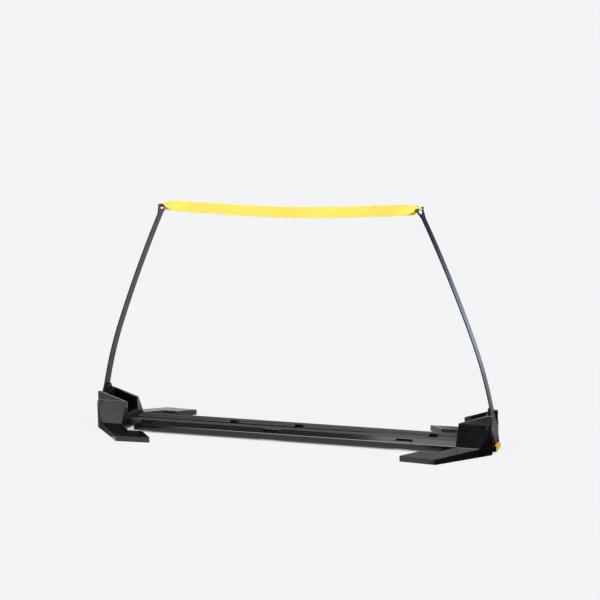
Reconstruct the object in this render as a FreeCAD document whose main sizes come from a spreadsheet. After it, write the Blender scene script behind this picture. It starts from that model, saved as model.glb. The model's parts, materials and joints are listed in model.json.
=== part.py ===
import FreeCAD, Part
import math
import os
import re
import Sketcher

# Speed hurdle: two end housings on splayed feet, joined by three base rails. Each housing holds a
# sprung leaf arm on a hinge pin, and a webbing strap hangs between the tips of the two arms.
# Frame: X along the hurdle, -Y to the front, Z up, origin on the floor at the middle. Millimetres.

sizes = {
    # Base, end to end, and the two end housings
    "base_length": 760,
    "housing_length": 60,
    "cheek_gap": 42,
    "cheek_wall": 4,
    "cheek_top": 69,
    "cheek_low_top": 52,
    "cheek_flat": 7,
    "ledge_height": 52,
    "ledge_width": 2,
    "block_foot": 50,
    "block_wall": 3.5,
    "block_end_wall": 22,
    # Splayed feet, measured in from the outer end and out from the middle
    "corner_half": 30,
    "toe_setback": 79.6,
    "toe_half": 118.1,
    "toe_inner_setback": 145,
    "toe_inner_half": 112.6,
    "heel_setback": 116.5,
    "heel_half": 81.2,
    "instep_setback": 87,
    "root_half": 49,
    "foot_root_height": 14.5,
    "toe_height": 9.8,
    # Deck of the arm channel, with the band chamber below it
    "deck_height": 27.3,
    "deck_thickness": 3,
    "deck_setback": 14,
    "chamber_wall": 3,
    # Base rails
    "rail_half": 46.5,
    "rail_under": 3.8,
    "rail_top": 15.5,
    "rail_skin": 3,
    "groove_floor": 13,
    "groove_half": 20,
    "groove_rise_half": 30,
    "front_free_gap": 23,
    "rear_free_gap": 2,
    "centre_half": 10,
    "centre_top": 14.7,
    "rail_joint": 0.2,
    "plug_depth": 12,
    "plug_fit": 0.15,
    "tab_length": 31,
    "tab_depth": 19,
    "tab_inset": 5,
    "tab_slot": 2.5,
    "tab_window": 15,
    "tab_setback": 14.5,
    "tab_tail": 98.5,
    "notch_length": 17,
    "notch_depth": 18,
    "notch_inset": 5,
    "notch_setback": 55,
    "notch_tail": 198,
    # Hinge pins with their caps
    "pin_setback": 9,
    "pin_height": 47.5,
    "pin_radius": 2.5,
    "pin_head_radius": 3.2,
    "pin_head_length": 2.6,
    "cap_skin": 0.8,
    "pin_press": 0.03,
    "pin_running": 0.06,
    "head_clearance": 0.3,
    # Leaf arms: the lean is from upright, in degrees
    "arm_width": 23,
    "arm_thickness": 2.2,
    "arm_lower_radius": 791.7,
    "arm_upper_radius": 2560,
    "foot_height": 3.8,
    "tip_height": 425,
    "knee_lean": 20.23,
    "knee_inset": 32.5,
    "knee_rise": 152.5,
    "paddle_width": 40,
    "paddle_shoulder": 46,
    "paddle_neck": 80,
    "head_width": 40,
    "head_drop": 4.5,
    "head_flare": 11,
    "fork_gap": 27,
    "fork_drop": 5.5,
    "fork_notch": 3.5,
    "eye_radius": 3.2,
    "foot_bar": 8,
    "foot_slot": 4,
    # Arm carriers
    "carrier_width": 40,
    "carrier_inset": 7,
    "carrier_bottom": 39,
    "carrier_shoulder": 66,
    "carrier_top": 78.5,
    "carrier_tip_width": 22,
    "carrier_tongue": 3,
    "carrier_gap": 0.1,
    # Screws
    "screw_radius": 2,
    "screw_head_radius": 3.6,
    "screw_head": 2,
    "screw_sink": 2.3,
    "screw_fit": 0.05,
    "rail_screw_length": 9,
    "rail_screw_half": 28,
    "arm_screw_rise": 10.5,
    "arm_screw_half": 9,
    "arm_screw_bite": 1.5,
    # Return bands and their anchors
    "band_width": 32,
    "band_thickness": 1.6,
    "band_play": 0.3,
    "band_corner": 0.8,
    "anchor_inset": 26,
    "anchor_bite": 3,
    # Strap, its bars and end loops
    "bar_radius": 1.8,
    "bar_inset": 1,
    "bar_press": 0.03,
    "strap_width": 20,
    "strap_thickness": 1.5,
    "loop_play": 0.3,
    "loop_run": 8,
    "twist_length": 22,
    "twist_drop": 0.5,
    "strap_sag": 9,
    "strap_joint": 0.3,
}

doc = FreeCAD.newDocument("SpeedHurdle")
sheet = doc.addObject("Spreadsheet::Sheet", "Sizes")
for row, (alias, size) in enumerate(sizes.items(), start=1):
    sheet.set(f"A{row}", alias)
    sheet.set(f"B{row}", str(size))
    sheet.setAlias(f"B{row}", alias)
doc.recompute()


# An expression in plain size names, written for the sheet's cells.
def expression(text):
    return re.sub(r"[a-z_]+", lambda word: "Sizes." + word[0] if word[0] in sizes else word[0], text)


def number(text):
    return float(sheet.evalExpression(expression(text)))


# Places that several pieces share.
outer_end = "(base_length / 2)"
inner_end = f"({outer_end} - housing_length)"
plug_end = f"({inner_end} + plug_depth)"
cheek_outside = "(cheek_gap / 2 + cheek_wall)"
ledge_half = f"({cheek_outside} + ledge_width)"
pin_x = f"({outer_end} - pin_setback)"
chamber_start = f"({plug_end} + chamber_wall)"
deck_under = "(deck_height - deck_thickness)"
front_free_end = f"({inner_end} - front_free_gap)"
rear_free_end = f"({inner_end} - rear_free_gap)"
rail_inner = "(centre_half + rail_joint)"
front_run = f"({front_free_end} + {inner_end})"
rear_run = f"({rear_free_end} + {inner_end})"
through = "(2 * base_length)"
cut_margin = "cheek_wall"

# The arm's centre line is two arcs that meet at the knee. The lean at a point is its arc's angle.
knee_x = f"({pin_x} - knee_inset)"
knee_z = "(pin_height + knee_rise)"
lower_x = f"({knee_x} - arm_lower_radius * cos(knee_lean * 1deg))"
lower_z = f"({knee_z} - arm_lower_radius * sin(knee_lean * 1deg))"
upper_x = f"({knee_x} - arm_upper_radius * cos(knee_lean * 1deg))"
upper_z = f"({knee_z} - arm_upper_radius * sin(knee_lean * 1deg))"
foot_bar_top = "(foot_height + foot_bar)"
arm_outline_width = "max(paddle_width; head_width)"

# The band's inside, round the arm's foot bar and the anchor pin.
band_floor = "(foot_height - band_play)"
band_roof = f"({foot_bar_top} + band_play)"
anchor_x = f"({inner_end} + anchor_inset)"
anchor_z = f"(({band_floor} + {band_roof}) / 2)"
anchor_radius = f"(({band_roof} - {band_floor}) / 2 - band_play)"


def lower_point(radius, lean):
    x = f"({lower_x} + ({radius}) * cos({lean} * 1deg))"
    z = f"({lower_z} + ({radius}) * sin({lean} * 1deg))"
    return x, z


# Where the arm's two stretches stand at a height, on arcs of the given radius.
def lower_x_at(height, radius):
    return f"({lower_x} + sqrt(({radius}) ^ 2 - (({height}) - {lower_z}) ^ 2))"


def upper_x_at(height, radius):
    return f"({upper_x} + sqrt(({radius}) ^ 2 - (({height}) - {upper_z}) ^ 2))"


tip_x = upper_x_at("tip_height", "arm_upper_radius")


# The left pieces are the right ones turned half round the middle of the hurdle.
half_turn = FreeCAD.Placement(FreeCAD.Vector(0, 0, 0), FreeCAD.Rotation(FreeCAD.Vector(0, 0, 1), 180))
sides = {"right": FreeCAD.Placement(), "left": half_turn}
nodes = []


def add_node(part, label):
    part.Label = label
    nodes.append(part)
    return part


def new_body(label):
    return add_node(doc.addObject("PartDesign::Body", label), label)


def new_sketch(body, plane, offset):
    sketch = body.newObject("Sketcher::SketchObject", "Sketch")
    support = [feature for feature in body.Origin.OriginFeatures if feature.Role == plane]
    sketch.AttachmentSupport = [(support[0], "")]
    sketch.MapMode = "FlatFace"
    sketch.setExpression("AttachmentOffset.Base.z", expression(offset))
    return sketch


def tie(sketch, kind, references, text):
    index = sketch.addConstraint(Sketcher.Constraint(kind, *references, number(text)))
    sketch.setExpression(f"Constraints[{index}]", expression(text))


# An arc's centre, to the left of the chord where the arc turns left and to the right where it turns right.
def arc_centre(start, end, radius, turn):
    chord = end - start
    across = FreeCAD.Vector(-chord.y, chord.x, 0).normalize()
    rise = math.sqrt(radius ** 2 - (chord.Length / 2) ** 2)
    return (start + end) * 0.5 + across * (rise * turn)


# One closed outline. A corner is (x, y), and (x, y, radius, turn) where the edge after it is an arc.
def add_outline(sketch, corners):
    points = [FreeCAD.Vector(number(corner[0]), number(corner[1]), 0) for corner in corners]
    edges = []
    for index, corner in enumerate(corners):
        start = points[index]
        end = points[(index + 1) % len(points)]
        if len(corner) == 2:
            edges.append((sketch.addGeometry(Part.LineSegment(start, end)), 1, 2))
            continue
        radius, turn = corner[2:]
        centre = arc_centre(start, end, number(radius), turn)
        first, last = (start, end) if turn > 0 else (end, start)
        angles = [math.atan2(point.y - centre.y, point.x - centre.x) for point in (first, last)]
        circle = Part.Circle(centre, FreeCAD.Vector(0, 0, 1), number(radius))
        edge = sketch.addGeometry(Part.ArcOfCircle(circle, *angles))
        edges.append((edge, 1, 2) if turn > 0 else (edge, 2, 1))
    for index, (edge, start, end) in enumerate(edges):
        following, following_start, _ = edges[(index + 1) % len(edges)]
        sketch.addConstraint(Sketcher.Constraint("Coincident", edge, end, following, following_start))
    for corner, (edge, start, _) in zip(corners, edges):
        tie(sketch, "DistanceX", (-1, 1, edge, start), corner[0])
        tie(sketch, "DistanceY", (-1, 1, edge, start), corner[1])
        if len(corner) > 2:
            tie(sketch, "Radius", (edge,), corner[2])


def add_circle(sketch, x, y, radius):
    centre = FreeCAD.Vector(number(x), number(y), 0)
    edge = sketch.addGeometry(Part.Circle(centre, FreeCAD.Vector(0, 0, 1), number(radius)))
    tie(sketch, "DistanceX", (-1, 1, edge, 3), x)
    tie(sketch, "DistanceY", (-1, 1, edge, 3), y)
    tie(sketch, "Radius", (edge,), radius)


def add_feature(body, kind, sketch, length, symmetric, reverse):
    before = body.Shape.Volume if body.Tip else 0
    feature = body.newObject(f"PartDesign::{kind}", kind)
    feature.Profile = sketch
    feature.SideType = "Symmetric" if symmetric else "One side"
    feature.Reversed = reverse
    feature.setExpression("Length", expression(length))
    doc.recompute()
    change = body.Shape.Volume - before
    if (kind == "Pad") != (change > 0):
        raise RuntimeError(f"{body.Label}: {kind} of {sketch.Label} changes nothing")


def add_profile(body, kind, plane, corners, length, offset="0", symmetric=False, reverse=False):
    sketch = new_sketch(body, plane, offset)
    for outline in corners:
        add_outline(sketch, outline)
    add_feature(body, kind, sketch, length, symmetric, reverse)


def add_round(body, kind, plane, circles, length, offset="0", symmetric=False, reverse=False):
    sketch = new_sketch(body, plane, offset)
    for circle in circles:
        add_circle(sketch, *circle)
    add_feature(body, kind, sketch, length, symmetric, reverse)


def rectangle(left, right, low, high):
    return [(left, low), (right, low), (right, high), (left, high)]


# The same outline on both sides of the middle line.
def both_sides(corners):
    mirrored = [(f"-({x})", y) for x, y in reversed(corners)]
    return [corners, mirrored]


def negative(text):
    return f"(-({text}))"


# Housing: feet plate, blocks and cheeks, then the arm channel, band chamber and rail socket cut from it.
def make_housing(side, turn):
    body = new_body(f"{side}_housing")
    front_foot = [
        (outer_end, "-corner_half"),
        (f"{outer_end} - toe_setback", "-toe_half"),
        (f"{outer_end} - toe_inner_setback", "-toe_inner_half"),
        (f"{outer_end} - heel_setback", "-heel_half"),
        (f"{outer_end} - instep_setback", "-heel_half"),
        (inner_end, "-root_half"),
    ]
    rear_foot = [(x, negative(y)) for x, y in reversed(front_foot)]
    add_profile(body, "Pad", "XY_Plane", [front_foot + rear_foot], "foot_root_height")
    foot_top = [
        ("block_foot", "foot_root_height"),
        ("toe_half", "toe_height"),
        (f"toe_half + {cut_margin}", "toe_height"),
        (f"toe_half + {cut_margin}", f"foot_root_height + {cut_margin}"),
        ("block_foot", f"foot_root_height + {cut_margin}"),
    ]
    add_profile(body, "Pocket", "YZ_Plane", both_sides(foot_top), through, symmetric=True)
    block_half = [
        ("block_foot", "0"),
        ("block_foot", "foot_root_height"),
        (ledge_half, "ledge_height"),
        (cheek_outside, "ledge_height"),
        (cheek_outside, "cheek_top"),
    ]
    block = block_half + [(negative(y), z) for y, z in reversed(block_half)]
    add_profile(body, "Pad", "YZ_Plane", [block], "housing_length", offset=inner_end)
    splay = [
        (outer_end, "corner_half"),
        (f"{outer_end} - toe_setback", "toe_half"),
        (f"{outer_end} + {cut_margin}", "toe_half"),
        (f"{outer_end} + {cut_margin}", "corner_half"),
    ]
    splay_front = [(x, negative(y)) for x, y in reversed(splay)]
    add_profile(body, "Pocket", "XY_Plane", [splay, splay_front], through, symmetric=True)
    cheek_slope = [
        (f"{outer_end} - cheek_flat", "cheek_top"),
        (inner_end, "cheek_low_top"),
        (f"{inner_end} - {cut_margin}", "cheek_low_top"),
        (f"{inner_end} - {cut_margin}", f"cheek_top + {cut_margin}"),
        (f"{outer_end} - cheek_flat", f"cheek_top + {cut_margin}"),
    ]
    add_profile(body, "Pocket", "XZ_Plane", [cheek_slope], f"2 * {cheek_outside}", symmetric=True)
    channel = rectangle("-cheek_gap / 2", "cheek_gap / 2", "deck_height", f"cheek_top + {cut_margin}")
    add_profile(body, "Pocket", "YZ_Plane", [channel], through, symmetric=True)
    chamber = [
        (chamber_start, "0"),
        (chamber_start, deck_under),
        (f"{outer_end} - deck_setback", deck_under),
        (f"{outer_end} - deck_setback", f"deck_height + {cut_margin}"),
        (f"{outer_end} + {cut_margin}", f"deck_height + {cut_margin}"),
        (f"{outer_end} + {cut_margin}", "0"),
    ]
    add_profile(body, "Pocket", "XZ_Plane", [chamber], "cheek_gap", symmetric=True)
    hollow = [
        (cheek_outside, "0"),
        ("block_foot - block_wall", "0"),
        ("block_foot - block_wall", "foot_root_height"),
        (cheek_outside, "ledge_height - block_wall"),
    ]
    hollow_length = f"({outer_end} - block_end_wall - {chamber_start})"
    add_profile(body, "Pocket", "YZ_Plane", both_sides(hollow), hollow_length, chamber_start, reverse=True)
    socket = rectangle("-(rail_half + plug_fit)", "centre_half + plug_fit",
                       "rail_under - plug_fit", "rail_top + plug_fit")
    add_profile(body, "Pocket", "YZ_Plane", [socket], "plug_depth + plug_fit", inner_end, reverse=True)
    hinge_hole = (pin_x, "pin_height", "pin_radius + pin_press")
    add_round(body, "Pocket", "XZ_Plane", [hinge_hole], "2 * block_foot", symmetric=True)
    head_seat = (pin_x, "pin_height", "pin_head_radius + head_clearance")
    add_round(body, "Pocket", "XZ_Plane", [head_seat], "block_foot", ledge_half, reverse=True)
    add_round(body, "Pocket", "XZ_Plane", [head_seat], "block_foot", negative(ledge_half))
    anchor_hole = (anchor_x, anchor_z, f"{anchor_radius} + pin_press")
    add_round(body, "Pocket", "XZ_Plane", [anchor_hole], "cheek_gap + 2 * anchor_bite", symmetric=True)
    for radius, depth in (("screw_radius + screw_fit", "rail_top"),
                          ("screw_head_radius + screw_fit", "screw_sink")):
        holes = [(x, y, radius) for x, y in rail_screw_places]
        add_round(body, "Pocket", "XY_Plane", holes, depth, reverse=True)
    body.Placement = turn


rail_screw_x = f"({inner_end} + plug_depth / 2)"
rail_screw_places = [(rail_screw_x, "-rail_screw_half"), (rail_screw_x, "0")]
pilot_depth = "(screw_sink - screw_head + rail_screw_length + head_clearance)"


# Rail: a hollow-backed bar that is fixed in one housing and free at its other end.
def make_rail(label, section, free_end):
    body = new_body(label)
    add_profile(body, "Pad", "YZ_Plane", [section], f"{free_end} + {plug_end}", negative(free_end))
    underside = rectangle(f"{negative(free_end)} + rail_skin", f"{inner_end} - rail_skin",
                          "-rail_half + rail_skin", f"{negative(rail_inner)} - rail_skin")
    add_profile(body, "Pocket", "XY_Plane", [underside], "groove_floor - rail_skin - rail_under",
                "rail_under", reverse=True)
    pilot = (*rail_screw_places[0], "screw_radius + screw_fit")
    add_round(body, "Pocket", "XY_Plane", [pilot], pilot_depth, reverse=True)
    return body


# The front rail is flat on top, with three latch windows. A short tab stands at the front of each.
def make_front_rail():
    section = rectangle("-rail_half", negative(rail_inner), "rail_under", "rail_top")
    body = make_rail("front_rail", section, front_free_end)
    for step in range(3):
        pitch = f"({front_run} - tab_setback - tab_tail) / 2"
        middle = f"({negative(front_free_end)} + tab_setback + {step} * {pitch})"
        near = f"({middle} - tab_length / 2)"
        far = f"({middle} + tab_length / 2)"
        back = f"({negative(rail_inner)} - tab_inset)"
        front = f"({back} - tab_depth)"
        slot = [
            (near, front),
            (f"{near} + tab_slot", front),
            (f"{near} + tab_slot", f"{back} - tab_window"),
            (f"{far} - tab_slot", f"{back} - tab_window"),
            (f"{far} - tab_slot", front),
            (far, front),
            (far, back),
            (near, back),
        ]
        add_profile(body, "Pocket", "XY_Plane", [slot], through, symmetric=True)


# The rear rail has a groove beside the centre rail, and latch notches across it and the slope behind it.
def make_rear_rail():
    section = [
        ("-rail_half", "rail_under"),
        (negative(rail_inner), "rail_under"),
        (negative(rail_inner), "groove_floor"),
        ("-groove_half", "groove_floor"),
        ("-groove_rise_half", "rail_top"),
        ("-rail_half", "rail_top"),
    ]
    body = make_rail("rear_rail", section, rear_free_end)
    for step in (0, 2, 3):
        pitch = f"({rear_run} - notch_setback - notch_tail) / 3"
        middle = f"({negative(rear_free_end)} + notch_setback + {step} * {pitch})"
        edge = f"({negative(rail_inner)} - notch_inset)"
        notch = rectangle(f"{middle} - notch_length / 2", f"{middle} + notch_length / 2",
                          f"{edge} - notch_depth", edge)
        add_profile(body, "Pocket", "XY_Plane", [notch], through, symmetric=True)
    body.Placement = half_turn


def make_centre_rail():
    body = new_body("centre_rail")
    section = rectangle("-centre_half", "centre_half", "rail_under", "centre_top")
    add_profile(body, "Pad", "YZ_Plane", [section], f"2 * {plug_end}", symmetric=True)
    underside = rectangle(f"{negative(inner_end)} + rail_skin", f"{inner_end} - rail_skin",
                          "-centre_half + rail_skin", "centre_half - rail_skin")
    add_profile(body, "Pocket", "XY_Plane", [underside], "centre_top - rail_skin - rail_under",
                "rail_under", reverse=True)
    pilots = [(x, "0", "screw_radius + screw_fit") for x in (rail_screw_x, negative(rail_screw_x))]
    add_round(body, "Pocket", "XY_Plane", pilots, pilot_depth, reverse=True)


# Headed pin through both cheeks, and the cap pressed on its other end.
def make_hinge_pin(side, turn):
    body = new_body(f"{side}_hinge_pin")
    shaft = (pin_x, "pin_height", "pin_radius")
    add_round(body, "Pad", "XZ_Plane", [shaft], f"2 * {ledge_half} + pin_head_length - cap_skin - pin_press",
              ledge_half, reverse=True)
    head = (pin_x, "pin_height", "pin_head_radius")
    add_round(body, "Pad", "XZ_Plane", [head], "pin_head_length", ledge_half)
    body.Placement = turn
    cap = new_body(f"{side}_pin_cap")
    add_round(cap, "Pad", "XZ_Plane", [head], "pin_head_length", negative(ledge_half), reverse=True)
    bore = (pin_x, "pin_height", "pin_radius + pin_press")
    add_round(cap, "Pocket", "XZ_Plane", [bore], "pin_head_length - cap_skin", negative(ledge_half))
    cap.Placement = turn


# Arm: a bent leaf with a wide paddle at its foot, and at its top a fork whose prongs end in eyes.
def make_arm(side, turn):
    body = new_body(f"{side}_arm")
    lower_out = "arm_lower_radius + arm_thickness / 2"
    lower_in = "arm_lower_radius - arm_thickness / 2"
    upper_out = "arm_upper_radius + arm_thickness / 2"
    upper_in = "arm_upper_radius - arm_thickness / 2"
    leaf = [
        (lower_x_at("foot_height", lower_out), "foot_height", lower_out, 1),
        (*lower_point(lower_out, "knee_lean"), upper_out, 1),
        (upper_x_at("tip_height", upper_out), "tip_height"),
        (upper_x_at("tip_height", upper_in), "tip_height", upper_in, -1),
        (*lower_point(lower_in, "knee_lean"), lower_in, -1),
        (lower_x_at("foot_height", lower_in), "foot_height"),
    ]
    add_profile(body, "Pad", "XZ_Plane", [leaf], arm_outline_width, symmetric=True)
    add_round(body, "Pad", "XZ_Plane", [(tip_x, "tip_height", "eye_radius")], arm_outline_width, symmetric=True)
    reach = f"({arm_outline_width} / 2 + {cut_margin})"
    above = f"(tip_height + eye_radius + {cut_margin})"
    waist = [
        ("paddle_width / 2", f"-{cut_margin}"),
        ("paddle_width / 2", "paddle_shoulder"),
        ("arm_width / 2", "paddle_neck"),
        ("arm_width / 2", "tip_height - head_drop - head_flare"),
        ("head_width / 2", "tip_height - head_drop"),
        ("head_width / 2", above),
        (reach, above),
        (reach, f"-{cut_margin}"),
    ]
    add_profile(body, "Pocket", "YZ_Plane", both_sides(waist), through, symmetric=True)
    fork = [
        ("-fork_gap / 2", above),
        ("-fork_gap / 2", "tip_height - fork_drop"),
        ("0", "tip_height - fork_drop - fork_notch"),
        ("fork_gap / 2", "tip_height - fork_drop"),
        ("fork_gap / 2", above),
    ]
    add_profile(body, "Pocket", "YZ_Plane", [fork], through, symmetric=True)
    bar_hole = (tip_x, "tip_height", "bar_radius + bar_press")
    add_round(body, "Pocket", "XZ_Plane", [bar_hole], f"{arm_outline_width} + {cut_margin}", symmetric=True)
    slot = rectangle("-(band_width / 2 + 3 * band_play)", "band_width / 2 + 3 * band_play",
                     foot_bar_top, f"{foot_bar_top} + foot_slot")
    add_profile(body, "Pocket", "YZ_Plane", [slot], through, symmetric=True)
    holes = [(y, z, "screw_radius + screw_fit") for y, z in arm_screw_places]
    add_round(body, "Pocket", "YZ_Plane", holes, f"{arm_screw_end} + screw_fit - {carrier_inside}",
              carrier_inside, reverse=True)
    body.Placement = turn


arm_face = "(arm_lower_radius - arm_thickness / 2)"
carrier_face = f"({arm_face} - carrier_gap)"
carrier_inside = f"({pin_x} - carrier_inset)"
arm_screw_z = "(pin_height + arm_screw_rise)"
arm_screw_places = [("-arm_screw_half", arm_screw_z), ("arm_screw_half", arm_screw_z)]
arm_screw_end = f"({lower_x_at(arm_screw_z, arm_face)} + arm_screw_bite)"


# Carrier: the block behind the arm that turns on the pin, with a tongue that tapers up the leaf.
def make_carrier(side, turn):
    body = new_body(f"{side}_arm_carrier")
    top_x = lower_x_at("carrier_top", carrier_face)
    shoulder_x = lower_x_at("carrier_shoulder", carrier_face)
    block = [
        (carrier_inside, "carrier_bottom"),
        (lower_x_at("carrier_bottom", carrier_face), "carrier_bottom", carrier_face, 1),
        (top_x, "carrier_top"),
        (f"{top_x} - carrier_tongue", "carrier_top"),
        (f"{shoulder_x} - carrier_tongue", "carrier_shoulder"),
        (carrier_inside, "carrier_shoulder"),
    ]
    add_profile(body, "Pad", "XZ_Plane", [block], "carrier_width", symmetric=True)
    taper = [
        ("carrier_width / 2", "carrier_shoulder"),
        ("carrier_tip_width / 2", "carrier_top"),
        ("carrier_tip_width / 2", f"carrier_top + {cut_margin}"),
        (f"carrier_width / 2 + {cut_margin}", f"carrier_top + {cut_margin}"),
        (f"carrier_width / 2 + {cut_margin}", "carrier_shoulder"),
    ]
    add_profile(body, "Pocket", "YZ_Plane", both_sides(taper), through, symmetric=True)
    bore = (pin_x, "pin_height", "pin_radius + pin_running")
    add_round(body, "Pocket", "XZ_Plane", [bore], f"carrier_width + {cut_margin}", symmetric=True)
    for radius, depth in (("screw_radius + screw_fit", through),
                          ("screw_head_radius + screw_fit", "screw_sink")):
        holes = [(y, z, radius) for y, z in arm_screw_places]
        add_round(body, "Pocket", "YZ_Plane", holes, depth, carrier_inside, reverse=True)
    body.Placement = turn


# One screw: a head with its outer face at the start, and a shank from there, along the turned Z axis.
def make_screw(name, start, rotation, length):
    head = doc.addObject("Part::Cylinder", f"{name}_head")
    head.setExpression("Radius", expression("screw_head_radius"))
    head.setExpression("Height", expression("screw_head"))
    shank = doc.addObject("Part::Cylinder", f"{name}_shank")
    shank.setExpression("Radius", expression("screw_radius"))
    shank.setExpression("Height", expression(length))
    for cylinder in (head, shank):
        cylinder.Placement.Rotation = rotation
        for axis, text in zip("xyz", start):
            cylinder.setExpression(f"Placement.Base.{axis}", expression(text))
    screw = doc.addObject("Part::Fuse", name)
    screw.Base = head
    screw.Tool = shank
    return screw


def make_screw_group(label, turn, starts, rotation, length):
    screws = [make_screw(f"{label}_{index}", start, rotation, length) for index, start in enumerate(starts)]
    group = add_node(doc.addObject("Part::Compound", label), label)
    group.Links = screws
    group.Placement = turn


def make_screws(side, turn):
    upward = FreeCAD.Rotation()
    outward = FreeCAD.Rotation(FreeCAD.Vector(0, 1, 0), 90)
    rail_starts = [(x, y, "screw_sink - screw_head") for x, y in rail_screw_places]
    make_screw_group(f"{side}_rail_screws", turn, rail_starts, upward, "rail_screw_length")
    arm_start = f"{carrier_inside} + screw_sink - screw_head"
    arm_starts = [(arm_start, y, z) for y, z in arm_screw_places]
    arm_length = f"{arm_screw_end} - ({arm_start})"
    make_screw_group(f"{side}_arm_screws", turn, arm_starts, outward, arm_length)


# Return band: a flat elastic loop round the anchor pin and the bar at the arm's foot.
def rounded(left, right, low, high, corner):
    return [
        (f"{left} + {corner}", low),
        (f"{right} - {corner}", low, corner, 1),
        (right, f"{low} + {corner}"),
        (right, f"{high} - {corner}", corner, 1),
        (f"{right} - {corner}", high),
        (f"{left} + {corner}", high, corner, 1),
        (left, f"{high} - {corner}"),
        (left, f"{low} + {corner}", corner, 1),
    ]


def make_band(side, turn):
    body = new_body(f"{side}_return_band")
    foot_out = f"({lower_x_at('foot_height', 'arm_lower_radius + arm_thickness / 2')} + band_play)"
    pin_in = f"({anchor_x} - {anchor_radius} - band_play)"
    outer = rounded(f"({pin_in} - band_thickness)", f"({foot_out} + band_thickness)",
                    f"({band_floor} - band_thickness)", f"({band_roof} + band_thickness)",
                    "(band_corner + band_thickness)")
    add_profile(body, "Pad", "XZ_Plane", [outer], "band_width", symmetric=True)
    inner = rounded(pin_in, foot_out, band_floor, band_roof, "band_corner")
    add_profile(body, "Pocket", "XZ_Plane", [inner], f"band_width + {cut_margin}", symmetric=True)
    body.Placement = turn
    anchor = new_body(f"{side}_band_anchor")
    add_round(anchor, "Pad", "XZ_Plane", [(anchor_x, anchor_z, anchor_radius)],
              "cheek_gap + 2 * anchor_bite", symmetric=True)
    anchor.Placement = turn


def make_strap_bar(side, turn):
    bar = new_body(f"{side}_strap_bar")
    add_round(bar, "Pad", "XZ_Plane", [(tip_x, "tip_height", "bar_radius")], "head_width - 2 * bar_inset",
              symmetric=True)
    bar.Placement = turn


# Strap end: a webbing loop round the bar, then a run that makes a quarter twist from flat to upright.
# The front edge goes down at both ends.
def make_strap_loop(side, turn):
    hand = 1 if side == "right" else -1
    bar = FreeCAD.Vector(number(tip_x), 0, number("tip_height"))
    width = number("strap_width")
    thickness = number("strap_thickness")
    inside = number("bar_radius + loop_play")
    start = bar + FreeCAD.Vector(0, -width / 2, 0)
    along = FreeCAD.Vector(0, 1, 0)
    ring = Part.makeCylinder(inside + thickness, width, start, along)
    ring = ring.cut(Part.makeCylinder(inside, width, start, along))
    run = number("loop_run")
    twist = number("twist_length")
    steps = 6
    sections = []
    for step in range(-1, steps + 1):
        share = max(step, 0) / steps
        reach = inside + thickness / 2 if step < 0 else run + twist * share
        centre = bar + FreeCAD.Vector(-reach, 0, -number("twist_drop") * share)
        angle = math.radians(90 * share * hand)
        across = FreeCAD.Vector(0, math.cos(angle), math.sin(angle)) * (width / 2)
        deep = FreeCAD.Vector(0, -math.sin(angle), math.cos(angle)) * (thickness / 2)
        corners = [centre + across + deep, centre - across + deep, centre - across - deep, centre + across - deep]
        sections.append(Part.makePolygon(corners + corners[:1]))
    tongue = Part.makeLoft(sections, True, True)
    loop = add_node(doc.addObject("Part::Feature", f"{side}_strap_loop"), f"{side}_strap_loop")
    loop.Shape = ring.fuse(tongue).removeSplitter().Solids[0]
    loop.Placement = turn


# Strap: an upright band in a shallow sag between the two end loops, in two halves that fold together.
strap_end = number(f"{tip_x} - loop_run - twist_length")
strap_level = number("tip_height - twist_drop")


def make_strap_span(side, turn):
    sag = number("strap_sag")
    radius = (strap_end ** 2 + sag ** 2) / (2 * sag)

    def level(x):
        return strap_level - sag + radius - math.sqrt(radius ** 2 - x ** 2)

    joint = number("strap_joint")
    half_width = number("strap_width") / 2
    half_thick = number("strap_thickness") / 2
    places = (joint / 2, strap_end / 2, strap_end - joint)
    top = [FreeCAD.Vector(x, -half_thick, level(x) + half_width) for x in places]
    bottom = [FreeCAD.Vector(x, -half_thick, level(x) - half_width) for x in places]
    edges = [
        Part.Arc(*top).toShape(),
        Part.makeLine(top[2], bottom[2]),
        Part.Arc(*bottom).toShape(),
        Part.makeLine(bottom[0], top[0]),
    ]
    face = Part.Face(Part.Wire(Part.__sortEdges__(edges)))
    span = add_node(doc.addObject("Part::Feature", f"strap_{side}_span"), f"strap_{side}_span")
    span.Shape = face.extrude(FreeCAD.Vector(0, 2 * half_thick, 0))
    span.Placement = turn


for side, turn in sides.items():
    make_housing(side, turn)
    make_hinge_pin(side, turn)
    make_arm(side, turn)
    make_carrier(side, turn)
    make_screws(side, turn)
    make_band(side, turn)
    make_strap_bar(side, turn)
    make_strap_loop(side, turn)
    make_strap_span(side, turn)
make_front_rail()
make_rear_rail()
make_centre_rail()

doc.recompute()
for part in doc.Objects:
    if "Invalid" in part.State or "Error" in part.State:
        raise RuntimeError(f"{part.Name} ({part.Label}) failed: {part.State}")
for part in nodes:
    if part.Shape.isNull() or not part.Shape.isValid():
        raise RuntimeError(f"{part.Label} has no valid shape")

os.makedirs("parts", exist_ok=True)
for part in nodes:
    part.Shape.exportStep(f"parts/{part.Label}.step")
    print(part.Label, len(part.Shape.Solids), round(part.Shape.Volume))
print("pin", number(pin_x), number("pin_height"))
print("tip", number(tip_x), number("tip_height"))
print("strap end", strap_end, strap_level)
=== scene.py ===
# speed hurdle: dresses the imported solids, makes the webbing and the bands, and sets the stage
import json
import math

import bmesh
import bpy
from mathutils import Matrix, Vector


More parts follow.
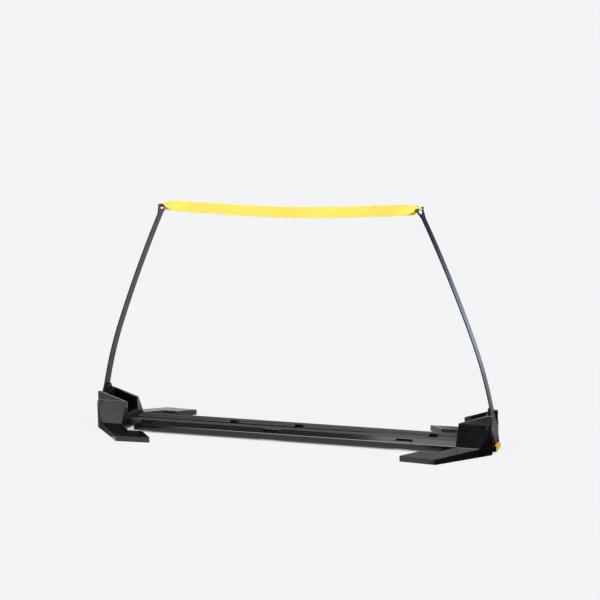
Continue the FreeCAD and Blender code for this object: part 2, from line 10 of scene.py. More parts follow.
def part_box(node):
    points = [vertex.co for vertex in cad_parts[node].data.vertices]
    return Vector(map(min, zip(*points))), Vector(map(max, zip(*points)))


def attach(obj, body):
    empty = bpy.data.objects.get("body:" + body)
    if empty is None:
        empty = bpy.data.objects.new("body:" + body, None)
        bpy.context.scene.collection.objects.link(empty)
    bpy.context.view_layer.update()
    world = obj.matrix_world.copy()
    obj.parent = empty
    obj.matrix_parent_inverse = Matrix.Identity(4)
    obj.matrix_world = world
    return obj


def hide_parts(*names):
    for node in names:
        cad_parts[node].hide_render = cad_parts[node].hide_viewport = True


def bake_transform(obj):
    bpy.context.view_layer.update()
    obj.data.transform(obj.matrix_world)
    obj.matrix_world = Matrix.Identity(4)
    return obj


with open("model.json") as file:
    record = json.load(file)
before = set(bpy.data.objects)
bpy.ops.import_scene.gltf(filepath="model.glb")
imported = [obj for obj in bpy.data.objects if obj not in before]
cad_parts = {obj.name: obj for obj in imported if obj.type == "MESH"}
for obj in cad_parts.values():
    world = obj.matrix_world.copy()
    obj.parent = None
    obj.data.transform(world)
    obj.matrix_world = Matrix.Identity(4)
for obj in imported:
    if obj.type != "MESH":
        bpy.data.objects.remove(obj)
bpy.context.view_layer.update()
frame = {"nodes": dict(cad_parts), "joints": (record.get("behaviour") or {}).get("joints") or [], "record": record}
nodes = frame["nodes"]
jointSpots = {joint["name"]: joint["pos_m"] for joint in frame["joints"]}
print("frame loaded with", len(nodes), "nodes")

scene = bpy.context.scene
scene.view_settings.view_transform = "Standard"
sides = {"left": -1, "right": 1}
millimetres = 1000  # in a metre, for patterns that are laid out in mm


# shader helpers

def newMaterial(name):
    material = bpy.data.materials.new(name)
    material.use_nodes = True
    tree = material.node_tree
    return material, tree, tree.nodes["Principled BSDF"]


def addNode(tree, kind, **settings):
    node = tree.nodes.new(kind)
    for key, value in settings.items():
        if key in node.inputs:
            node.inputs[key].default_value = value
        else:
            setattr(node, key, value)
    return node


# a value is a number or another node's output
def mathOf(tree, operation, *values):
    node = addNode(tree, "ShaderNodeMath", operation=operation)
    for place, value in enumerate(values):
        if isinstance(value, bpy.types.NodeSocket):
            tree.links.new(value, node.inputs[place])
        else:
            node.inputs[place].default_value = value
    return node.outputs["Value"]


def mixOf(tree, share, first, second):
    mix = addNode(tree, "ShaderNodeMixShader")
    tree.links.new(share, mix.inputs["Fac"])
    tree.links.new(first, mix.inputs[1])
    tree.links.new(second, mix.inputs[2])
    return mix.outputs["Shader"]


noiseSpan = (0.3, 0.7)  # where most values of a noise lie
unstretched = (1, 1, 1)


def noiseOn(tree, scale, detail, stretch):
    coords = addNode(tree, "ShaderNodeTexCoord")
    mapping = addNode(tree, "ShaderNodeMapping", Scale=stretch)
    noise = addNode(tree, "ShaderNodeTexNoise", Scale=scale, Detail=detail)
    tree.links.new(coords.outputs["Object"], mapping.inputs["Vector"])
    tree.links.new(mapping.outputs["Vector"], noise.inputs["Vector"])
    return noise.outputs["Fac"]


def rampOf(tree, source, span, lowColour, highColour):
    ramp = addNode(tree, "ShaderNodeValToRGB")
    low, high = ramp.color_ramp.elements
    low.position, high.position = span
    low.color = (*lowColour, 1)
    high.color = (*highColour, 1)
    tree.links.new(source, ramp.inputs["Fac"])
    return ramp.outputs["Color"]


def rangeOf(tree, source, given, wanted, **settings):
    span = addNode(tree, "ShaderNodeMapRange", **settings)
    for key, value in zip(("From Min", "From Max", "To Min", "To Max"), (*given, *wanted)):
        span.inputs[key].default_value = value
    tree.links.new(source, span.inputs["Value"])
    return span.outputs["Result"]


def bumpFrom(tree, shader, height, strength, distance):
    bump = addNode(tree, "ShaderNodeBump", Strength=strength, Distance=distance)
    tree.links.new(height, bump.inputs["Height"])
    tree.links.new(bump.outputs["Normal"], shader.inputs["Normal"])


def toned(colour, factor):
    return [channel * factor for channel in colour]


# moulded plastic: faint mottling, uneven gloss and a fine moulded grain, drawn out along some pieces
mould = {"dark": 0.7, "light": 1.35, "mottleSpan": (0.35, 0.7), "mottleDetail": 3, "glossDetail": 4,
         "grainDetail": 2, "grainDepth": 0.0002}


def mouldedPlastic(name, look):
    material, tree, shader = newMaterial(name)
    stretch = look.get("stretch", unstretched)
    mottle = noiseOn(tree, look["mottleScale"], mould["mottleDetail"], stretch)
    dark = toned(look["colour"], mould["dark"])
    light = toned(look["colour"], mould["light"])
    tree.links.new(rampOf(tree, mottle, mould["mottleSpan"], dark, light), shader.inputs["Base Color"])
    patches = noiseOn(tree, look["glossScale"], mould["glossDetail"], stretch)
    tree.links.new(rangeOf(tree, patches, noiseSpan, look["roughness"]), shader.inputs["Roughness"])
    shader.inputs["Specular IOR Level"].default_value = look["specular"]
    shader.inputs["Specular Tint"].default_value = (*look["tint"], 1)
    grain = noiseOn(tree, look["grainScale"], mould["grainDetail"], stretch)
    bumpFrom(tree, shader, grain, look["grain"], mould["grainDepth"])
    return material


housingLook = {"colour": (0.0045, 0.0044, 0.0052), "tint": (0.97, 0.95, 1), "roughness": (0.16, 0.25),
               "specular": 0.68, "mottleScale": 30, "glossScale": 45, "grainScale": 1400, "grain": 0.08}
frontRailLook = {"colour": (0.0045, 0.0043, 0.0045), "tint": (1, 0.96, 0.95), "roughness": (0.13, 0.2),
                 "specular": 0.6, "mottleScale": 24, "glossScale": 40, "grainScale": 500, "grain": 0.05,
                 "stretch": (0.03, 1, 1)}
innerRailLook = {"colour": (0.062, 0.0575, 0.058), "tint": (1, 0.96, 0.95), "roughness": (0.42, 0.55),
                 "specular": 0.25, "mottleScale": 260, "glossScale": 160, "grainScale": 500,
                 "grain": 0.15, "stretch": (0.012, 1, 1)}
armLook = {"colour": (0.015, 0.0115, 0.024), "tint": (0.8, 0.8, 1), "roughness": (0.28, 0.38),
           "specular": 0.2, "mottleScale": 80, "glossScale": 220, "grainScale": 900, "grain": 0.08,
           "stretch": (1, 1, 0.03)}
carrierLook = {"colour": (0.0025, 0.0025, 0.003), "tint": (0.95, 0.95, 1), "roughness": (0.35, 0.45),
               "specular": 0.15, "mottleScale": 60, "glossScale": 70, "grainScale": 1500, "grain": 0.1}
pinLook = {"colour": (0.012, 0.012, 0.013), "tint": (1, 1, 1), "roughness": (0.2, 0.28), "specular": 0.8,
           "mottleScale": 200, "glossScale": 300, "grainScale": 2200, "grain": 0.05}
cardLook = {"colour": (0.2, 0.2, 0.21), "tint": (1, 1, 1), "roughness": (0.8, 0.9), "specular": 0.1,
            "mottleScale": 20, "glossScale": 20, "grainScale": 300, "grain": 0.02}
dimCardLook = {**cardLook, "colour": (0.5, 0.5, 0.54)}
housingPlastic = mouldedPlastic("housingPlastic", housingLook)
frontRailPlastic = mouldedPlastic("frontRailPlastic", frontRailLook)
innerRailPlastic = mouldedPlastic("innerRailPlastic", innerRailLook)
armPlastic = mouldedPlastic("armPlastic", armLook)
carrierPlastic = mouldedPlastic("carrierPlastic", carrierLook)
pinBlack = mouldedPlastic("pinBlack", pinLook)
greyCard = mouldedPlastic("greyCard", cardLook)
dimCard = mouldedPlastic("dimCard", dimCardLook)


# turned steel: fine streaks and an uneven gloss
steelLook = {"tint": (0.42, 0.42, 0.44), "dark": 0.8, "roughness": (0.25, 0.42), "streakScale": 900,
             "streakDetail": 2, "stretch": (1, 0.05, 1), "relief": 0.1, "depth": 0.0002}


def turnedSteel(name, look):
    material, tree, shader = newMaterial(name)
    shader.inputs["Metallic"].default_value = 1
    streaks = noiseOn(tree, look["streakScale"], look["streakDetail"], look["stretch"])
    colour = rampOf(tree, streaks, noiseSpan, toned(look["tint"], look["dark"]), look["tint"])
    tree.links.new(colour, shader.inputs["Base Color"])
    tree.links.new(rangeOf(tree, streaks, noiseSpan, look["roughness"]), shader.inputs["Roughness"])
    bumpFrom(tree, shader, streaks, look["relief"], look["depth"])
    return material


screwSteel = turnedSteel("screwSteel", steelLook)


# webbing: ribs across the strap, fine yarns along it and a little fuzz, from the strip's own UV in mm; the weave's
# low spots are painted darker, as painted shade between the yarns
weave = {"fuzzDetail": 4, "fuzzShare": 0.5, "colourSpan": (0.1, 0.9), "specular": 0.3,
         "sheenRoughness": 0.45, "depth": 0.0003}


def wovenStrap(name, look):
    material, tree, shader = newMaterial(name)
    strip = addNode(tree, "ShaderNodeUVMap", uv_map="strip")
    ribs = addNode(tree, "ShaderNodeTexWave", wave_type="BANDS", bands_direction="X", Scale=look["ribs"])
    yarns = addNode(tree, "ShaderNodeTexWave", wave_type="BANDS", bands_direction="Y",
                    Scale=look["yarns"])
    fuzz = addNode(tree, "ShaderNodeTexNoise", Scale=look["fuzz"], Detail=weave["fuzzDetail"])
    for texture in (ribs, yarns, fuzz):
        tree.links.new(strip.outputs["UV"], texture.inputs["Vector"])
    crossing = mathOf(tree, "MULTIPLY", ribs.outputs["Fac"], yarns.outputs["Fac"])
    height = mathOf(tree, "MULTIPLY_ADD", fuzz.outputs["Fac"], weave["fuzzShare"], crossing)
    # valley colour in the weave's low spots and crest colour on its tops: painted shade, with random tone from the
    # fuzz
    colour = rampOf(tree, height, weave["colourSpan"], look["valley"], look["crest"])
    tree.links.new(colour, shader.inputs["Base Color"])
    shader.inputs["Roughness"].default_value = look["roughness"]
    shader.inputs["Specular IOR Level"].default_value = weave["specular"]
    shader.inputs["Sheen Weight"].default_value = look["sheen"]
    shader.inputs["Sheen Roughness"].default_value = weave["sheenRoughness"]
    bumpFrom(tree, shader, height, look["relief"], weave["depth"])
    return material


strapLook = {"valley": (0.97, 0.64, 0.06), "crest": (1, 0.76, 0.13), "roughness": 0.5, "sheen": 0.3,
             "ribs": 0.25, "yarns": 0.42, "fuzz": 1.4, "relief": 0.12}
bandLook = {"valley": (0.95, 0.52, 0.01), "crest": (1, 0.66, 0.03), "roughness": 0.7, "sheen": 0.05,
            "ribs": 0.12, "yarns": 0.3, "fuzz": 1.1, "relief": 0.3}
strapWeave = wovenStrap("strapWeave", strapLook)
bandWeave = wovenStrap("bandWeave", bandLook)


# sewing thread: uneven strands, drawn out a little
threadLook = {"dark": (0.9, 0.56, 0.04), "light": (1, 0.7, 0.1), "roughness": 0.6, "strandScale": 2600,
              "strandDetail": 3, "stretch": (1, 1, 0.4), "relief": 0.3, "depth": 0.0002}


def sewingThread(name, look):
    material, tree, shader = newMaterial(name)
    strands = noiseOn(tree, look["strandScale"], look["strandDetail"], look["stretch"])
    colour = rampOf(tree, strands, noiseSpan, look["dark"], look["light"])
    tree.links.new(colour, shader.inputs["Base Color"])
    shader.inputs["Roughness"].default_value = look["roughness"]
    bumpFrom(tree, shader, strands, look["relief"], look["depth"])
    return material


strapThread = sewingThread("strapThread", threadLook)
print("finishes mixed")


# piece helpers

def meshObject(name, bm, material):
    mesh = bpy.data.meshes.new(name)
    bm.to_mesh(mesh)
    bm.free()
    mesh.materials.append(material)
    holder = bpy.data.objects.new(name, mesh)
    scene.collection.objects.link(holder)
    return holder


def newPiece(name, bm, material):
    piece = meshObject(name, bm, material)
    return piece


gridHalf = 0.5


# a grid of one metre, from which a piece takes its shape
def unitGrid(bm, xSteps=1, ySteps=1):
    bmesh.ops.create_grid(bm, x_segments=xSteps, y_segments=ySteps, size=gridHalf)


copying = {"weld": 1e-6, "flatAngle": 0.6}  # metres and degrees


# a copy of a CAD node with its flat faces whole, apart from cuts across X that open the faces with holes
def cadCopy(node, cuts=()):
    bm = bmesh.new()
    bm.from_mesh(nodes[node].data)
    bmesh.ops.remove_doubles(bm, verts=bm.verts, dist=copying["weld"])
    for x in cuts:
        everything = bm.verts[:] + bm.edges[:] + bm.faces[:]
        split = bmesh.ops.bisect_plane(bm, geom=everything, plane_co=(x, 0, 0), plane_no=(1, 0, 0))
        for item in split["geom_cut"]:
            if isinstance(item, bmesh.types.BMEdge):
                item.seam = True
    bmesh.ops.dissolve_limit(bm, angle_limit=math.radians(copying["flatAngle"]), verts=bm.verts,
                             edges=bm.edges, delimit={"SEAM"})
    return bm


corner = {"slight": 0.2, "firm": 0.4, "square": 1.2}  # least angle between an edge's faces, in radians


def isCorner(edge, kind, longerThan=0):
    return edge.is_manifold and edge.calc_face_angle() > corner[kind] and edge.calc_length() > longerThan


def roundEdges(bm, size, edges, segments=1):
    bmesh.ops.bevel(bm, geom=edges, offset=size, offset_type="OFFSET", segments=segments, profile=0.5,
                    affect="EDGES", clamp_overlap=False, material=-1)


def smoothShade(piece, sharpAngle):
    piece.data.shade_smooth()
    piece.data.set_sharp_from_angle(angle=math.radians(sharpAngle))


# smooth shading that leaves the flat faces of a moulding flat
def smoothMoulding(piece, sharpAngle):
    smoothShade(piece, sharpAngle)
    weighted = piece.modifiers.new("weighted", "WEIGHTED_NORMAL")
    weighted.keep_sharp = True


# housings: rounded toes, and a crisp chamfer on the rest
housing = {"toeRound": 0.0012, "toeSegments": 6, "toeReach": 0.075, "toeHeight": 0.006, "upright": 0.9,
           "chamfer": 0.0008, "shortest": 0.004, "lowest": 0.0012, "sharpAngle": 20}


def middleOf(edge):
    return (edge.verts[0].co + edge.verts[1].co) / 2


def isToe(edge):
    along = edge.verts[0].co - edge.verts[1].co
    stands = abs(along.z) > housing["upright"] * along.length
    outside = abs(middleOf(edge).y) > housing["toeReach"]
    return stands and outside and isCorner(edge, "slight", housing["toeHeight"])


def makeHousing(side):
    bm = cadCopy(side + "_housing")
    toes = [e for e in bm.edges if isToe(e)]
    roundEdges(bm, housing["toeRound"], toes, housing["toeSegments"])
    rest = [e for e in bm.edges if isCorner(e, "firm", housing["shortest"])
            and middleOf(e).z > housing["lowest"]]
    roundEdges(bm, housing["chamfer"], rest)
    piece = newPiece(side + "Housing", bm, housingPlastic)
    smoothMoulding(piece, housing["sharpAngle"])
    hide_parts(side + "_housing")
    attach(piece, "base")


# rails: a chamfer along the long edges and a finer one round the openings
rail = {"chamfer": 0.0009, "longest": 0.035, "rimChamfer": 0.0004, "shortest": 0.004, "sharpAngle": 32,
        "cuts": {"front_rail": (-0.0305, 0.2215), "rear_rail": (-0.122, 0.0063, 0.263)}}

# the front rail's windows look through a thin skin into a hollow, whose faces take the carriers' darker, duller
# black as painted shade
window = {"front": (-0.0343, -0.0301), "deeper": 0.004, "ceiling": 0.01, "skinUnder": 0.0141,
          "hair": 0.0001, "hollow": (-0.0437, -0.013), "facing": 0.5}

# the rear rail's groove bed and the walls of its notches take the front rail's finish, glossier and much darker:
# the darkness is painted shade in the groove and notches
groove = {"edge": 0.021, "lowest": 0.01, "level": 0.99, "notch": (0.016, 0.0435), "upright": 0.5}


def openWindows(bm):
    low, high = window["front"]
    fronts = [v for v in bm.verts if low < v.co.y < high]
    bmesh.ops.translate(bm, verts=fronts, vec=(0, -window["deeper"], 0))
    ceiling = [v for v in bm.verts if abs(v.co.z - window["ceiling"]) < window["hair"]]
    bmesh.ops.translate(bm, verts=ceiling, vec=(0, 0, window["skinUnder"] - window["ceiling"]))


# faces under the skin and the hollow's end faces: the second finish paints them darker, as painted shade
def hollowPaintedShade(face):
    spot = face.calc_center_median()
    low, high = window["hollow"]
    underSkin = spot.z < window["skinUnder"] + window["hair"]
    return low < spot.y < high and (underSkin or abs(face.normal.x) > window["facing"])


# groove bed and notch walls, which the second finish paints darker as shade
def grooveNotchShade(face):
    spot = face.calc_center_median()
    low, high = groove["notch"]
    bed = face.normal.z > groove["level"] and spot.y < groove["edge"] and spot.z > groove["lowest"]
    notchWall = abs(face.normal.z) < groove["upright"] and low < spot.y < high
    return bed or notchWall


# the second finish is for the faces that a test picks
def makeRail(node, finish, second=None, takesSecond=None):
    bm = cadCopy(node, rail["cuts"].get(node, ()))
    if node == "front_rail":
        openWindows(bm)
    roundEdges(bm, rail["chamfer"], [e for e in bm.edges if isCorner(e, "slight", rail["longest"])])
    rims = [e for e in bm.edges if isCorner(e, "square", rail["shortest"])
            and e.calc_length() < rail["longest"]]
    roundEdges(bm, rail["rimChamfer"], rims)
    bm.normal_update()
    for face in bm.faces:
        if takesSecond and takesSecond(face):
            face.material_index = 1
    piece = newPiece(node.replace("_r", "R"), bm, finish)
    if second:
        piece.data.materials.append(second)
    smoothMoulding(piece, rail["sharpAngle"])
    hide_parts(node)
    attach(piece, "base")


# arms and their carriers
armPieces = {
    "Arm": {"node": "_arm", "round": 0.0005, "finish": armPlastic, "slot": "arm"},
    "Carrier": {"node": "_arm_carrier", "round": 0.0008, "finish": carrierPlastic, "slot": "carrier"},
}
armEdges = {"shortest": 0.0035, "segments": 3, "sharpAngle": 32}


def makeArm(side):
    for name, look in armPieces.items():
        bm = cadCopy(side + look["node"])
        edges = [e for e in bm.edges if isCorner(e, "firm", armEdges["shortest"])]
        roundEdges(bm, look["round"], edges, armEdges["segments"])
        piece = newPiece(side + name, bm, look["finish"])
        smoothMoulding(piece, armEdges["sharpAngle"])
        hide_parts(side + look["node"])
        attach(piece, side + "_arm_assembly")


for side in sides:
    makeHousing(side)
    makeArm(side)
# the front rail's hollow takes the carriers' black: painted shade
makeRail("front_rail", frontRailPlastic, carrierPlastic, hollowPaintedShade)
# the rear rail's groove and notch walls take the front rail's black: painted shade
makeRail("rear_rail", innerRailPlastic, frontRailPlastic, grooveNotchShade)
makeRail("centre_rail", innerRailPlastic)
print("mouldings rounded")

# strap: one strip of webbing for each half, from the middle of the span out to the bar, round it and back
# to the sewn tail. Near the bar it takes a quarter twist, near edge down. The tail lies in front on the
# right and behind on the left. The right bar and the right hinge of the span stand for both sides
barX, barY, barZ = jointSpots["right_loop_swing"]
hingeX, hingeY, hingeZ = jointSpots["strap_right_fold"]
strap = {
    "width": 0.02, "thickness": 0.0014, "rim": 0.0003, "rimSegments": 2, "sharpAngle": 55,
    "sag": 0.009, "tail": 0.16, "taper": 0.005, "tipShare": 0.2,
    # stations along the strip and steps across it
    "step": 0.003, "fineStep": 0.0008, "fineReach": 0.03, "barGap": 0.001, "bendSteps": 16,
    "acrossSteps": 10,
    # the loop round the bar, and how soon its two layers come together
    "wrap": 0.0028, "settle": (0.0005, 0.01), "doubling": 0.03, "layerShare": 0.52,
    # the quarter twist in degrees, and the lower layer's lead in it
    "upright": 90, "twistFrom": 0.001, "twist": 0.052, "twistEase": 1.6,
    "lead": 34, "leadRise": (0, 0.006), "leadFall": (0.01, 0.022),
    # a slight dip next to the loop, and a lean of the span that is less on the left
    "dip": 0.0014, "dipRise": (0.004, 0.02), "dipFall": (0.035, 0.09),
    "lean": -13, "leftLean": 0.35, "leanRise": (0.005, 0.06), "leanFall": (0.12, 0.185),
    "foldReach": 0.008,
}


def clamped(share):
    return min(max(share, 0), 1)


def smoothStep(low, high, value):
    share = clamped((value - low) / (high - low))
    return share * share * (3 - 2 * share)


def riseAndFall(rise, fall, value):
    return smoothStep(*rise, value) * (1 - smoothStep(*fall, value))


def sagAt(x):
    radius = (hingeX ** 2 + strap["sag"] ** 2) / (2 * strap["sag"])
    lowest = hingeZ - strap["sag"]
    return lowest + radius - math.sqrt(radius ** 2 - min(abs(x), hingeX) ** 2)


# the roll of each layer, flat on the bar at 0
def upperRoll(reach):
    share = clamped((reach - strap["twistFrom"]) / strap["twist"])
    return strap["upright"] * (1 - (1 - share) ** strap["twistEase"])


def lowerRoll(reach):
    return upperRoll(reach) + strap["lead"] * riseAndFall(strap["leadRise"], strap["leadFall"], reach)


# a station is its middle, the way across the webbing and the way out of the loop
def layerStation(x, upper, sign):
    reach = barX - x
    settle = smoothStep(*strap["settle"], reach)
    roll = upperRoll(reach) if upper else lowerRoll(reach)
    lean = strap["lean"] * (1 if sign > 0 else strap["leftLean"])
    turn = math.radians(roll + lean * riseAndFall(strap["leanRise"], strap["leanFall"], x))
    across = Vector((0, math.cos(turn), math.sin(turn)))
    out = Vector((0, -math.sin(turn), math.cos(turn))) * (1 if upper else -1)
    dip = strap["dip"] * riseAndFall(strap["dipRise"], strap["dipFall"], reach)
    middle = Vector((x, barY, barZ * (1 - settle) + sagAt(x) * settle - dip))
    doubled = smoothStep(strap["tail"] - strap["doubling"], strap["tail"], x)
    apart = strap["thickness"] * strap["layerShare"] * doubled
    away = strap["wrap"] * (1 - settle) + apart * settle
    return middle + out * away, across, out


def strapStations(sign):
    spots = [0.0]
    while spots[-1] < barX - strap["barGap"]:
        nearBar = spots[-1] > barX - strap["fineReach"]
        spots.append(spots[-1] + (strap["fineStep"] if nearBar else strap["step"]))
    ahead = [layerStation(x, sign < 0, sign) for x in spots]
    back = [layerStation(x, sign > 0, sign) for x in reversed(spots) if x >= strap["tail"]]
    bend = []
    for step in range(1, strap["bendSteps"]):
        angle = math.pi * (0.5 - step / strap["bendSteps"]) * -sign
        out = Vector((math.cos(angle), 0, math.sin(angle)))
        bend.append((Vector((spots[-1], barY, barZ)) + out * strap["wrap"], Vector((0, 1, 0)), out))
    return ahead + bend + back


def runsOf(stations):
    runs = [0.0]
    for before, after in zip(stations, stations[1:]):
        runs.append(runs[-1] + (after[0] - before[0]).length)
    return runs


def makeStrap(side):
    sign = sides[side]
    stations = strapStations(sign)
    runs = runsOf(stations)
    steps = len(stations) - 1
    bm = bmesh.new()
    along = bm.verts.layers.float.new("along")
    share = bm.verts.layers.float.new("share")
    strip = bm.loops.layers.uv.new("strip")
    unitGrid(bm, steps, strap["acrossSteps"])
    for vert in bm.verts:
        vert[along] = (vert.co.x + gridHalf) * steps
        vert[share] = vert.co.y
    shell = bmesh.ops.extrude_face_region(bm, geom=bm.faces[:], use_keep_orig=True)
    inner = {item for item in shell["geom"] if isinstance(item, bmesh.types.BMVert)}
    for vert in bm.verts:
        index = round(vert[along])
        middle, across, out = stations[index]
        full = smoothStep(0, strap["taper"], runs[-1] - runs[index])
        thin = strap["tipShare"] + (1 - strap["tipShare"]) * full
        lift = strap["thickness"] / 2 * (-1 if vert in inner else 2 * thin - 1)
        spot = middle + across * vert[share] * strap["width"] + out * lift
        vert.co = Vector((sign * spot.x, spot.y, spot.z))
    bmesh.ops.recalc_face_normals(bm, faces=bm.faces)
    for face in bm.faces:
        for loop in face.loops:
            run = runs[round(loop.vert[along])]
            loop[strip].uv = (run * millimetres, loop.vert[share] * strap["width"] * millimetres)
    rims = [e for e in bm.edges if isCorner(e, "square")]
    roundEdges(bm, strap["rim"], rims, strap["rimSegments"])
    piece = newPiece(side + "Strap", bm, strapWeave)
    smoothShade(piece, strap["sharpAngle"])
    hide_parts(side + "_strap_loop", "strap_" + side + "_span")
    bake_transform(piece)


# two rows of stitches hold each tail down
stitch = {"length": 0.0022, "radius": 0.0002, "rows": (0.167, 0.172), "count": 6, "gap": 0.003, "facets": 8}


def makeStitches(side):
    sign = sides[side]
    bm = bmesh.new()
    for x in stitch["rows"]:
        for upper in (True, False):
            middle, across, out = layerStation(x, upper, sign)
            turn = Vector((0, 0, 1)).rotation_difference(across).to_matrix()
            for place in range(stitch["count"]):
                offset = (place - (stitch["count"] - 1) / 2) * stitch["gap"]
                spot = middle + across * offset + out * strap["thickness"] / 2
                bead = bmesh.ops.create_uvsphere(bm, u_segments=stitch["facets"],
                                                 v_segments=stitch["facets"], radius=stitch["radius"])
                for vert in bead["verts"]:
                    vert.co.z *= stitch["length"] / 2 / stitch["radius"]
                bmesh.ops.rotate(bm, verts=bead["verts"], cent=(0, 0, 0), matrix=turn)
                bmesh.ops.translate(bm, verts=bead["verts"], vec=(sign * spot.x, spot.y, spot.z))
    piece = newPiece(side + "Stitches", bm, strapThread)
    piece.data.shade_smooth()
    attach(piece, "strap_" + side)


for side in sides:
    makeStrap(side)
    makeStitches(side)
print("strap made")

# return bands: an elastic loop from the anchor pin to the bar at the arm's foot
band = {"thickness": 0.0016, "corner": 0.003, "cornerSegments": 6, "longSide": 0.015, "longCuts": 24,
        "rim": 0.0004, "rimSegments": 2, "sharpAngle": 50, "stays": 0.36, "goes": 0.383, "level": 0.008}


def makeBand(side):
    low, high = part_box(side + "_return_band")
    bm = bmesh.new()
    unitGrid(bm)
    for vert in bm.verts:
        spotX = low.x if vert.co.x < 0 else high.x
        spotZ = low.z if vert.co.y < 0 else high.z
        vert.co = Vector((spotX, low.y, spotZ))
    bmesh.ops.bevel(bm, geom=bm.verts[:], offset=band["corner"], offset_type="OFFSET",
                    segments=band["cornerSegments"], profile=0.5, affect="VERTICES", clamp_overlap=True,
                    material=-1)
    outline = bm.faces[:]
    bmesh.ops.inset_region(bm, faces=outline, thickness=band["thickness"], use_boundary=True,
                           use_even_offset=True)
    bmesh.ops.delete(bm, geom=outline, context="FACES")
    longEdges = [e for e in bm.edges if e.calc_length() > band["longSide"]]
    bmesh.ops.subdivide_edges(bm, edges=longEdges, cuts=band["longCuts"])
    wall = bmesh.ops.extrude_face_region(bm, geom=bm.faces[:], use_keep_orig=True)
    pulled = [item for item in wall["geom"] if isinstance(item, bmesh.types.BMVert)]
    bmesh.ops.translate(bm, verts=pulled, vec=(0, high.y - low.y, 0))
    bmesh.ops.recalc_face_normals(bm, faces=bm.faces)
    rims = [e for e in bm.edges if isCorner(e, "square")]
    roundEdges(bm, band["rim"], rims, band["rimSegments"])
    strip = bm.loops.layers.uv.new("strip")
    for face in bm.faces:
        for loop in face.loops:
            spot = loop.vert.co
            loop[strip].uv = ((spot.x + spot.z) * millimetres, spot.y * millimetres)
    piece = newPiece(side + "Band", bm, bandWeave)
    smoothShade(piece, band["sharpAngle"])
    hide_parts(side + "_return_band")
    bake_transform(piece)


for side in sides:
    makeBand(side)
print("bands made")

# what is left of the CAD keeps its own solids: pins, caps, bars, anchors and screws
finishes = {"pin": pinBlack, "screw": screwSteel}
for subpart in frame["record"]["subparts"]:
    if subpart["material_slot"] in finishes:
        mesh = nodes[subpart["node"]].data
        mesh.materials.clear()
        mesh.materials.append(finishes[subpart["material_slot"]])
print("finishes set")


# stage: a pale floor that keeps a faint shadow, and a full one in a strip under the rails
stageLook = {"pale": (0.888, 0.905, 0.922, 1), "floorSize": 30, "paperRoughness": 0.9, "ambient": 0.52,
             "mirrored": 0.01}
shadow = {"share": 0.1, "reach": 0.9, "fullAt": 0.4,
          "strip": {"X": {"middle": 0, "inside": 0.3, "outside": 0.35},
                    "Y": {"middle": 0.015, "inside": 0.045, "outside": 0.065}}}


def stripMask(tree, source, middle, inside, outside):
    distance = mathOf(tree, "ABSOLUTE", mathOf(tree, "SUBTRACT", source, middle))
    return rangeOf(tree, distance, (inside, outside), (1, 0), interpolation_type="SMOOTHSTEP")


def shadowOn(tree):
    coords = addNode(tree, "ShaderNodeTexCoord")
    mapping = addNode(tree, "ShaderNodeMapping", Scale=[1 / shadow["reach"]] * 3)
    pool = addNode(tree, "ShaderNodeTexGradient", gradient_type="SPHERICAL")
    tree.links.new(coords.outputs["Object"], mapping.inputs["Vector"])
    tree.links.new(mapping.outputs["Vector"], pool.inputs["Vector"])
    faint = rangeOf(tree, pool.outputs["Fac"], (0, shadow["fullAt"]), (0, shadow["share"]))
    axes = addNode(tree, "ShaderNodeSeparateXYZ")
    tree.links.new(coords.outputs["Object"], axes.inputs["Vector"])
    masks = [stripMask(tree, axes.outputs[axis], **shadow["strip"][axis]) for axis in ("X", "Y")]
    return mathOf(tree, "MAXIMUM", faint, mathOf(tree, "MULTIPLY", *masks))


def floorPaper():
    material, tree, shader = newMaterial("floorPaper")
    shader.inputs["Base Color"].default_value = stageLook["pale"]
    shader.inputs["Roughness"].default_value = stageLook["paperRoughness"]
    shader.inputs["Specular IOR Level"].default_value = 0
    lit = shader.outputs["BSDF"]
    glow = addNode(tree, "ShaderNodeEmission", Color=stageLook["pale"])
    seen = mixOf(tree, shadowOn(tree), glow.outputs["Emission"], lit)
    rays = addNode(tree, "ShaderNodeLightPath")
    looked = mathOf(tree, "MAXIMUM", rays.outputs["Is Camera Ray"], rays.outputs["Is Glossy Ray"])
    picked = mixOf(tree, looked, lit, seen)
    tree.links.new(picked, tree.nodes["Material Output"].inputs["Surface"])
    return material


def makeFloor():
    bm = bmesh.new()
    bmesh.ops.create_grid(bm, x_segments=1, y_segments=1, size=stageLook["floorSize"])
    meshObject("floor", bm, floorPaper())


# three dark cards beside the housings, just above the floor and seen in reflections only: painted shade of the
# floor in the reflections
cardHeight = 0.0004
cards = {
    "blackCard": {"low": (0.287, -0.34), "high": (1.3, 0.1), "finish": carrierPlastic},
    "dimCard": {"low": (0.385, 0.1), "high": (1.3, 0.5), "finish": dimCard},
    "greyCard": {"low": (-1.0, -0.17), "high": (-0.325, 0.5), "finish": greyCard},
}


# the cards are hidden from the camera, from diffuse light and from shadows: painted shade that only reflections
# see
def makeReflectedShadeCards():
    for name, card in cards.items():
        bm = bmesh.new()
        unitGrid(bm)
        for vert in bm.verts:
            spotX = card["low"][0] if vert.co.x < 0 else card["high"][0]
            spotY = card["low"][1] if vert.co.y < 0 else card["high"][1]
            vert.co = Vector((spotX, spotY, cardHeight))
        holder = meshObject(name, bm, card["finish"])
        holder.visible_camera = False
        holder.visible_diffuse = False
        holder.visible_shadow = False


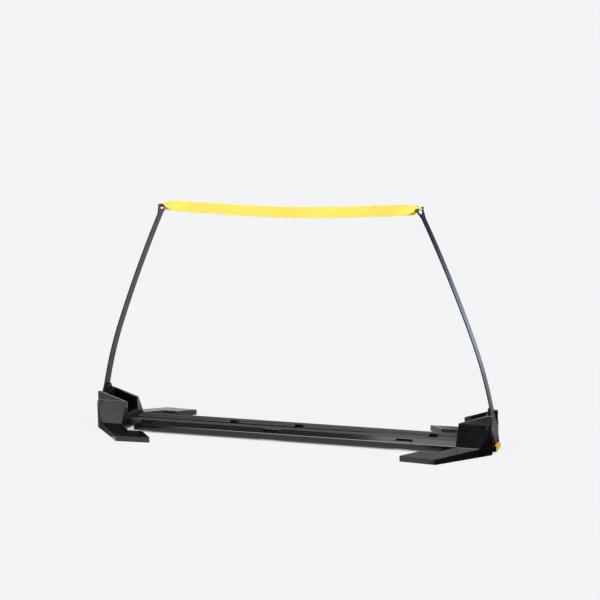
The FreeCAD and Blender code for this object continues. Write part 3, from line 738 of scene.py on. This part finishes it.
# the world is pale to the camera, nearly black in reflections, and lights the rest
def makeWorld():
    world = bpy.data.worlds.new("studio")
    scene.world = world
    world.use_nodes = True
    tree = world.node_tree
    ambient = tree.nodes["Background"]
    ambient.inputs["Strength"].default_value = stageLook["ambient"]
    mirrored = addNode(tree, "ShaderNodeBackground", Strength=stageLook["mirrored"])
    pale = addNode(tree, "ShaderNodeBackground", Color=stageLook["pale"])
    rays = addNode(tree, "ShaderNodeLightPath")
    unseen = mixOf(tree, rays.outputs["Is Glossy Ray"], ambient.outputs["Background"],
                   mirrored.outputs["Background"])
    picked = mixOf(tree, rays.outputs["Is Camera Ray"], unseen, pale.outputs["Background"])
    tree.links.new(picked, tree.nodes["World Output"].inputs["Surface"])


white = (1, 1, 1)
lamps = {
    "overKey": {"at": (-0.2, -0.1, 2.6), "to": (-0.2, 0, 0), "size": (1.1, 1.2), "power": 22},
    "edgeLine": {"at": (-0.72, -0.84, 2.6), "to": (-0.72, -0.2, 0), "size": (1.15, 0.55), "power": 13},
    "frontBox": {"at": (-1.9, -3.0, 0.9), "to": (0, 0, 0.4), "size": (3.0, 1.4), "power": 74},
    "leftFill": {"at": (-1.5, -1.7, 1.8), "to": (-0.3, 0, 0.05), "size": (1.2, 1.2), "power": 4.4},
    "rightFill": {"at": (2.0, -0.7, 1.9), "to": (0.38, 0, 0.1), "size": (0.8, 0.8), "power": 27},
    "ledgeLine": {"at": (-2.15, -2.95, 2.26), "to": (-0.35, 0, 0.05), "size": (0.7, 0.4), "power": 11},
    "backFill": {"at": (0.9, 2.4, 2.4), "to": (0, 0, 0.3), "size": (1.6, 1.0), "power": 26},
    "backRight": {"at": (0.02, 3.0, 1.0), "to": (0.2, 0, 0.1), "size": (1.45, 1.2), "power": 2.8},
    "backStrip": {"at": (-1.9, 3.0, 0.32), "to": (-0.2, 0, 0.1), "size": (3.0, 0.44), "power": 4.9},
    "sideStrip": {"at": (1.35, 3.0, 0.25), "to": (0.3, 0, 0.25), "size": (1.2, 0.5), "power": 6.5,
                  "colour": (0.62, 0.77, 1)},
}


def makeLamps():
    for name, lamp in lamps.items():
        light = bpy.data.lights.new(name, "AREA")
        light.shape = "RECTANGLE"
        light.size, light.size_y = lamp["size"]
        light.energy = lamp["power"]
        light.color = lamp.get("colour", white)
        holder = bpy.data.objects.new(name, light)
        holder.location = lamp["at"]
        aim = Vector(lamp["to"]) - Vector(lamp["at"])
        holder.rotation_euler = aim.to_track_quat("-Z", "Y").to_euler()
        holder.visible_camera = False
        scene.collection.objects.link(holder)


# the photograph's view point: yaw to the right, pitch down, and a slight roll
shot = {"yaw": 18.777, "pitch": 9.22, "roll": -0.801, "at": (0.8784, -2.5238, 0.6888), "lens": 89.345,
        "sensor": 36, "clipEnd": 100}


def makeCamera():
    yaw, pitch, roll = (math.radians(shot[key]) for key in ("yaw", "pitch", "roll"))
    level = math.cos(pitch)
    ahead = Vector((-math.sin(yaw) * level, math.cos(yaw) * level, -math.sin(pitch)))
    right = Vector((math.cos(yaw), math.sin(yaw), 0))
    above = right.cross(ahead)
    rolledRight = right * math.cos(roll) + above * math.sin(roll)
    rolledUp = above * math.cos(roll) - right * math.sin(roll)
    turn = Matrix((rolledRight, rolledUp, -ahead)).transposed().to_4x4()
    camera = bpy.data.objects.new("camera", bpy.data.cameras.new("camera"))
    camera.data.sensor_width = shot["sensor"]
    camera.data.lens = shot["lens"]
    camera.data.clip_end = shot["clipEnd"]
    camera.matrix_world = Matrix.Translation(shot["at"]) @ turn
    scene.collection.objects.link(camera)
    scene.camera = camera


makeFloor()
makeReflectedShadeCards()
makeWorld()
makeLamps()
makeCamera()
print("stage ready")
